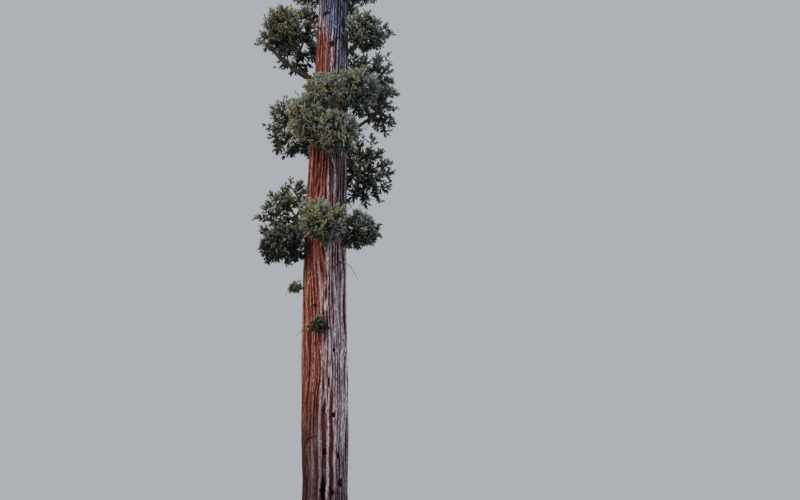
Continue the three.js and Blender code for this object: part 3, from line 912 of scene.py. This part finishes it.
# The three dead branches, and the snags on the trunk as one piece.
def build_dead_wood():
    for number, (name, (radius, through)) in enumerate(DEAD.items()):
        places = [around(*place) for place in through]
        points, triangles = dead_branch(radius, places, number + 1, BRANCH_FORKS)
        node = "dead_branch_" + name
        middle = points[triangles].mean(axis=1)
        bare = np.linalg.norm(middle[:, :2] - trunk_axis(middle[:, 2])[:, :2], axis=1) > BARE_FROM
        branch = make_mesh(node + "_bark", points, triangles, [TWIG_BARK, DEAD_WOOD], bare)
        settle(branch, "dead_wood", node)
    snags = []
    for number, (radius, through) in enumerate(SNAGS):
        places = []
        for azimuth, off, height in through:
            out = trunk_radius(height, math.radians(azimuth)) - SNAG_DEPTH + off
            places.append(around(azimuth, out, height))
        snags.append(dead_branch(radius, places, number + 51, SNAG_FORKS))
    settle(make_mesh("trunk_snags", *joined(snags), [TWIG_BARK]), "bough_bark")


# A mass of one of the three groups, of the group's own sizes where none are given.
def grouped_mass(group, i, height, azimuth, sizes=None):
    out, spread, depth = sizes or (group.out, group.spread, group.depth)
    place = height, azimuth, out, spread, depth, height - group.below * depth
    return Mass(f"{group.name}_{i + 1}", *place, group.density, group.light)


# The masses with boughs, and those straight from the trunk, in the order of the part's source.
def all_masses():
    back, upper, top = [], [], []
    for i in range(BACK.count):
        azimuth = BACK.azimuth + BACK.swing * (-1 if i % 2 else 1)
        back.append(grouped_mass(BACK, i, BACK.lowest + BACK.step * i, azimuth))
    for i in range(UPPER.count):
        height = UPPER.lowest + UPPER.step * i
        azimuth = (UPPER.azimuth + math.degrees(GOLDEN_TURN) * i) % 360
        spread = UPPER.spread + (UPPER.spread_top - UPPER.spread) * i / (UPPER.count - 1)
        share = (height - CROWN_WIDEST) / (CROWN_TOP - CROWN_WIDEST)
        out = CROWN_RADIUS * (1 - share * share) ** CROWN_BLUNTNESS - spread
        upper.append(grouped_mass(UPPER, i, height, azimuth, (out, spread, spread * UPPER.flatness)))
    for i in range(TOP.count):
        azimuth = TOP.azimuth - 360 / TOP.count * i
        top.append(grouped_mass(TOP, i, TOP.highest - TOP.step * i, azimuth))
    boughed = [*KNOWN, *back, *upper[:UPPER_ON_BOUGHS]]
    return boughed, [*SPRIGS, *upper[UPPER_ON_BOUGHS:], *top]


# Ways that are spread evenly over a ball, each moved a little where a random source is given.
def even_ways(count, turn, random=None):
    number = np.arange(count)
    rise = 1 - (2 * number + 1) / count
    angle = turn + GOLDEN_TURN * number
    if random is not None:
        rise = np.clip(rise + random.uniform(-0.8, 0.8, count) / count, -1, 1)
        angle = angle + random.uniform(-0.2, 0.2, count)
    level = np.sqrt(1 - rise * rise)
    return np.stack([level * np.cos(angle), level * np.sin(angle), rise], axis=-1)


# The ways that a mass's twigs point.
def twig_ways(mass, seed):
    count = next(number for spread, number in TWIGS if mass.spread > spread)
    return even_ways(count, 2 * np.pi * next(dice(DICE_PER_MASS * seed)))


# The points of a spray one long, its triangles, and how far along the spray each cord reaches. A cord
# is a spike with three sides: two make the bent middle and the others stand off it in turn.
def spray_shape(seed):
    random = np.random.RandomState(seed)
    droop = random.uniform(*SPRAY_DROOP)

    def spine(x):
        return np.array([x, SPRAY_SWAY[0] * math.sin(SPRAY_SWAY[1] * x), -droop * x * x])

    cords = [(spine(low), spine(high)) for low, high in MIDDLE_CORDS]
    for number in range(SIDE_CORDS):
        x = SIDE_FROM + SIDE_SPAN * number / (SIDE_CORDS - 1)
        angle = math.radians(random.uniform(*SIDE_ANGLES)) * (1 if number % 2 else -1)
        length = SIDE_LENGTH * (1 - 0.5 * abs(x - LONGEST_SIDE)) * random.uniform(*SIDE_VARIETY)
        reach = np.array([math.cos(angle), math.sin(angle), random.uniform(*SIDE_RISE)])
        cords.append((spine(x), spine(x) + length * reach))
    points, triangles = [], []
    for number, (start, end) in enumerate(cords):
        way = unit(end - start)
        side = unit(np.cross(way, [0.1, 0.2, 1.0]))
        face = np.cross(side, way)
        for corner in range(3):
            angle = 2 * np.pi * corner / 3
            points.append(start + CORD_RADIUS * (math.cos(angle) * side + math.sin(angle) * face))
            triangles.append((4 * number + corner, 4 * number + (corner + 1) % 3, 4 * number + 3))
        points.append(end)
    return np.array(points), np.array(triangles), np.array([end[0] for start, end in cords])


SPRAY_SHAPES = [spray_shape(seed) for seed in range(SPRAY_KINDS)]


# A mass's tufts: their places, the ways they face and their layers. The layer is 0 inside the mass, 1
# on its surface and 2 for the lace.
def tuft_places(mass, leafing, ways, centre, radii, random):
    a, c = mass.spread, mass.depth
    area = 4 * np.pi * ((2 * (a * c) ** AREA_POWER + a ** (2 * AREA_POWER)) / 3) ** (1 / AREA_POWER)
    lobes = even_ways(max(FEWEST, round(area * LOBES_PER_AREA)), random.uniform(0, 2 * np.pi), random)
    swelling = random.uniform(-1, 1, len(lobes))
    outer = max(FEWEST, round(area * leafing.tufts_per_area * mass.density))
    layers = [(leafing.inner_share, INNER_REACH), (1, OUTER_REACH), (LACE_SHARE, LACE_REACH)]
    found = []
    for layer, (layer_share, reach) in enumerate(layers):
        count = round(outer * layer_share)
        way = even_ways(count, random.uniform(0, 2 * np.pi), random)
        to_twig = np.max(np.clip(way @ ways.T, 0, 1), axis=1)
        to_lobes = np.clip(way @ lobes.T, 0, 1)
        to_lobe = np.max(to_lobes, axis=1)
        swell = swelling[np.argmax(to_lobes, axis=1)]
        bulge = leafing.bulge * (to_twig**4 - 0.5) + LOBE_BULGE * (to_lobe**10 - 0.5)
        bulge = bulge + LOBE_VARIETY * swell * to_lobe**4
        share = CORE_SHARE * (1 + bulge) * random.uniform(*reach, count)
        kept = (swell > OPEN_LOBES) | (random.uniform(0, 1, count) < OPEN_KEPT)
        place = (centre + way * radii * share[:, None])[kept]
        found.append((place, unit(way / radii)[kept], np.full(len(place), layer)))
    return [np.concatenate(column) for column in zip(*found)]


# Whether points are clear of the trunk by a distance.
def clear_of_trunk(places, distance):
    across = places[..., :2] - trunk_axis(places[..., 2])[..., :2]
    angle = np.arctan2(across[..., 1], across[..., 0])
    return np.linalg.norm(across, axis=-1) > trunk_radius(places[..., 2], angle) + distance


# The plumes of a mass's tufts: where their sprays start, the ways they point and their lengths.
def fan_out(leafing, places, facing, random):
    number = np.arange(SPRAYS_PER_TUFT)
    size = len(places), SPRAYS_PER_TUFT
    axis = unit(facing + PLUME_LIFT * UP + PLUME_TILT * random.normal(size=facing.shape))
    helper = unit(np.cross(axis, random.normal(size=facing.shape)))
    second = np.cross(axis, helper)
    tilt = np.arccos(1 - FAN_WIDTH * (number + 0.5) / SPRAYS_PER_TUFT)
    tilt = (tilt + random.uniform(-TILT_JITTER, TILT_JITTER, size))[..., None]
    spin = (GOLDEN_TURN * number + random.uniform(-SPIN_JITTER, SPIN_JITTER, size))[..., None]
    level = helper[:, None] * np.cos(spin) + second[:, None] * np.sin(spin)
    way = axis[:, None] * np.cos(tilt) + level * np.sin(tilt)
    length = leafing.spray_length * random.uniform(*SPRAY_LENGTHS, size)
    along = leafing.spray_length * (PLUME_TIP - PLUME_LENGTH * number / SPRAYS_PER_TUFT)
    jitter = START_JITTER * random.normal(size=(*size, 3))
    return places[:, None] + along[:, None] * axis[:, None] + jitter, way, length


# How well lit sprays are painted: painted light and shade, which picks their tints.
def light_on(mass, above, facing, layer, way, random):
    outward = np.einsum("tsk,tk->ts", way, facing)
    chance = random.normal(0, SPRAY_CHANCE, outward.shape)
    lit = UPWARD_LIGHT * way[..., 2] + OUTWARD_LIGHT * outward + chance
    chance = random.normal(0, TUFT_CHANCE, above.shape)
    return lit + mass.light + HIGHER_LIGHT * above + chance - np.where(layer, 0, INSIDE_DARKER)[:, None]


# The kinds of leaf that sprays have, as numbers in LEAF_KINDS. The next number is for a dead spray.
def leaf_kinds(mass, above, facing, random):
    # Partly painted light: tufts that face away from the sun are shaded and bluer, partly as shade leaves.
    shaded = 0.5 - 0.5 * facing @ heading(SUN_SIDE)
    by_tuft = random.uniform(0, 1, above.shape)
    by_spray = random.uniform(0, 1, (len(above), SPRAYS_PER_TUFT))
    hue = sum(part * draw for part, draw in zip(HUE_PARTS, (by_tuft, by_spray, shaded[:, None])))
    hue = hue + COOL_SHIFT * (mass.name in COOL_MASSES)
    brown = random.uniform(0, 1, above.shape) < BROWN_SHARES.get(mass.name, DEAD_TUFTS)
    return np.where(brown & (above < BROWN_BELOW), len(LEAF_KINDS), np.digitize(hue, HUE_ENDS))


# The sprays of a mass's tufts: where they start, the ways they point, their rolls, lengths and shapes,
# how well lit they are and the kind of leaf each has.
def deal_sprays(mass, leafing, places, facing, layer, random):
    start, way, length = fan_out(leafing, places, facing, random)
    above = (places[:, 2:] - mass.height) / mass.depth
    lit = light_on(mass, above, facing, layer, way, random)
    kind = leaf_kinds(mass, above, facing, random)
    length = length * np.where(kind == len(LEAF_KINDS), BROWN_LENGTH, 1)
    length = length * np.where(layer == 2, LACE_LENGTH, 1)[:, None]
    roll = random.uniform(0, 2 * np.pi, length.shape)
    shape = random.randint(0, SPRAY_KINDS, length.shape)
    kept = ((layer < 2)[:, None] | (random.uniform(0, 1, length.shape) < LACE_KEPT)).ravel()
    parts = (start, way, roll, length, shape, lit, kind)
    return [part.reshape(kept.size, *part.shape[2:])[kept] for part in parts]


# Sprays as one set of points and triangles, and a tint for each triangle, with painted light and shade.
def spray_mesh(sprays, random):
    start, way, roll, length, shape, lit, kind = sprays
    helper = unit(np.cross(way, UP) + 1e-6)
    second = np.cross(helper, way)
    across = helper * np.cos(roll)[:, None] + second * np.sin(roll)[:, None]
    turned = np.stack([way, across, np.cross(way, across)], axis=1) * length[:, None, None]
    found = []
    for number, (local, faces, along) in enumerate(SPRAY_SHAPES):
        chosen = shape == number
        placed = start[chosen][:, None] + local @ turned[chosen]
        inside = np.all((placed * SCALE > cad_low) & (placed * SCALE < cad_high), axis=(1, 2))
        placed = placed[inside]
        # Painted light: cords nearer a spray's tip are painted lighter.
        light = lit[chosen][inside][:, None] + TIP_LIGHT * (along - TIP_FROM)
        light = light + random.normal(0, CORD_CHANCE, light.shape)
        kinds = kind[chosen][inside][:, None]
        tint = np.digitize(light, SHADE_ENDS) + len(LEAF_SHADES) * kinds
        dead = (kinds == len(LEAF_KINDS)) | (random.uniform(0, 1, tint.shape) < DEAD_CORDS)
        tint = np.where(dead, len(LEAVES) - 1, tint)
        triangles = faces[None] + len(local) * np.arange(len(placed))[:, None, None]
        found.append((placed.reshape(-1, 3), triangles.reshape(-1, 3), np.repeat(tint.ravel(), 3)))
    return joined([one[:2] for one in found]), np.concatenate([one[2] for one in found])


# A mass's stem, its twigs, and a thin shoot to every tuft.
def grow_wood(mass, seed, on_bough, centre, radii, ways, places, random):
    if on_bough:
        _, bend, start, girth = bough_course(mass)
        bend = start + np.linalg.norm(centre - start) / 3 * unit(start - bend)
        girth = girth * BOUGH_TIP
    else:
        start = inside_trunk(mass.azimuth, mass.leaves)
        bend = 0.5 * (start + centre)
        girth = STEM_RADIUS + STEM_GIRTH * mass.spread
    wood = [twig_tube(bezier(start, bend, centre, 8), girth, (1, STEM_TIP), 8, TWIG_ROUGHNESS, seed)]
    small = np.clip(mass.spread / FULL_SPREAD, *GIRTHS)
    for way in ways:
        end = centre + TWIG_REACH * way * radii
        side = TWIG_SWAY * mass.spread * unit(np.cross(way, random.normal(size=3)))
        twig = bezier(centre, 0.5 * (centre + end) + side, end, 7)
        wood.append(twig_tube(twig, small, TWIG_RADII, 6, TWIG_ROUGHNESS, seed))
    nearest = np.argmax(unit(places - centre) @ ways.T, axis=1)
    for place, way in zip(places, ways[nearest]):
        leaving = centre + way * radii * random.uniform(*SHOOT_LEAVES)
        bend = leaving + SHOOT_BEND * (place - leaving)
        bend = bend + SHOOT_SWEEP * mass.spread * way - SHOOT_SAG * UP
        wood.append(twig_tube(bezier(leaving, bend, place, 4), small, SHOOT_RADII, 3))
    return joined(wood)


# The dead twigs that hang out of a mass's lower side and curl up at their tips.
def grow_bare_twigs(mass, centre, radii, random):
    twigs = []
    for _ in range(BARE_TWIGS.get(mass.name, 0)):
        sideways = heading(mass.azimuth + random.uniform(-BARE_TURN, BARE_TURN))
        start = centre + BARE_START * radii * unit(sideways + random.uniform(*BARE_SLOPE) * UP)
        reach = random.uniform(*BARE_REACH)
        fall = BARE_OUT * sideways - random.uniform(*BARE_FALL) * UP
        end = start + reach * fall + random.normal(0, BARE_SWAY, 3)
        curl = BARE_OUT * sideways + random.uniform(*BARE_CURL) * UP
        middle = 0.5 * (start + end) + BARE_BEND * reach * curl
        twigs.append(twig_tube(arc(start, middle, end, 9), 1, BARE_RADII, 5, TWIG_ROUGHNESS, 1))
    return twigs


# One mass's foliage: its leaves with their tints, its wood and its bare dead twigs.
def grow_mass(mass, seed, on_bough, leafing):
    random = np.random.RandomState(seed)
    centre = around(mass.azimuth, mass.out, mass.height)
    radii = np.array([mass.spread, mass.spread, mass.depth])
    ways = twig_ways(mass, seed)
    tufts = tuft_places(mass, leafing, ways, centre, radii, random)
    clear = clear_of_trunk(tufts[0], TUFT_CLEARANCE)
    places, facing, layer = [part[clear] for part in tufts]
    sprays = deal_sprays(mass, leafing, places, facing, layer, random)
    clear = clear_of_trunk(sprays[0] + sprays[1] * sprays[3][:, None], SPRAY_CLEARANCE)
    leaves, tints = spray_mesh([part[clear] for part in sprays], random)
    wood = grow_wood(mass, seed, on_bough, centre, radii, ways, places, random)
    bare = grow_bare_twigs(mass, centre, radii, random)
    return SimpleNamespace(mass=mass, leaves=leaves, tints=tints, wood=wood, bare=bare)


# The foliage of all masses, joined into pieces of a limited number of triangles, and their wood.
def build_foliage(boughed, boughless):
    grown = []
    for number, mass in enumerate([*boughed, *boughless]):
        leafing = NEAR if mass in KNOWN else SPRIG if mass in SPRIGS else FAR
        grown.append(grow_mass(mass, number + 1, mass in boughed, leafing))
    grown.sort(key=lambda one: one.mass.height)
    groups, count = [[]], 0
    for one in grown:
        if count + len(one.tints) > PIECE_TRIANGLES:
            groups.append([])
            count = 0
        groups[-1].append(one)
        count += len(one.tints)
    for number, group in enumerate(groups):
        leaves = joined([one.leaves for one in group])
        tints = np.concatenate([one.tints for one in group])
        piece = make_mesh(f"foliage_sprays_{number + 1}", *leaves, LEAVES, tints, smooth=False)
        settle(piece, "foliage", *["foliage_" + one.mass.name for one in group])
    settle(make_mesh("foliage_twigs", *joined([one.wood for one in grown]), [TWIG_BARK]), "bough_bark")
    bare = [twig for one in grown for twig in one.bare]
    settle(make_mesh("foliage_dead_twigs", *joined(bare), [DEAD_WOOD]), "dead_wood")


# The floor, which is not part of the tree.
def build_floor():
    ring = np.arange(FLOOR_SIDES)
    angle = 2 * np.pi * ring / FLOOR_SIDES
    points = FLOOR_RADIUS * np.stack([np.cos(angle), np.sin(angle), 0 * angle], axis=-1)
    points = np.concatenate([points, [[0, 0, 0]]])
    points[:, 2] = -FLOOR_DROP
    triangles = np.stack([ring, (ring + 1) % FLOOR_SIDES, np.full_like(ring, FLOOR_SIDES)], axis=-1)
    material = new_material("floor", FLOOR_COLOUR, 0.9)[0]
    make_mesh("floor", points, triangles, [material], smooth=False)


# A pale sky and a warm sun from the left.
def build_lights():
    world = bpy.data.worlds.new("sky")
    bpy.context.scene.world = world
    world.use_nodes = True
    background = world.node_tree.nodes["Background"]
    set_inputs(background, {"Color": (*SKY_COLOUR, 1), "Strength": SKY_STRENGTH})
    light = bpy.data.lights.new("sun", "SUN")
    light.energy = SUN_STRENGTH
    light.color = SUN_COLOUR
    light.angle = math.radians(SUN_WIDTH)
    sun = new_object("sun", light)
    sun.rotation_euler = (math.radians(SUN_TILT), 0, math.radians(SUN_TURN))


def build_camera():
    data = bpy.data.cameras.new("camera")
    data.lens = CAMERA_LENS
    data.clip_end = CAMERA_REACH
    camera = new_object("camera", data)
    camera.location = [SCALE * part for part in CAMERA_PLACE]
    camera.rotation_euler = (math.radians(90 + CAMERA_PITCH), 0, 0)
    bpy.context.scene.camera = camera


build_camera()
build_lights()
build_floor()
build_trunk()
boughed, boughless = all_masses()
for number, mass in enumerate(boughed):
    build_bough(mass, number + 1)
build_dead_wood()
build_foliage(boughed, boughless)
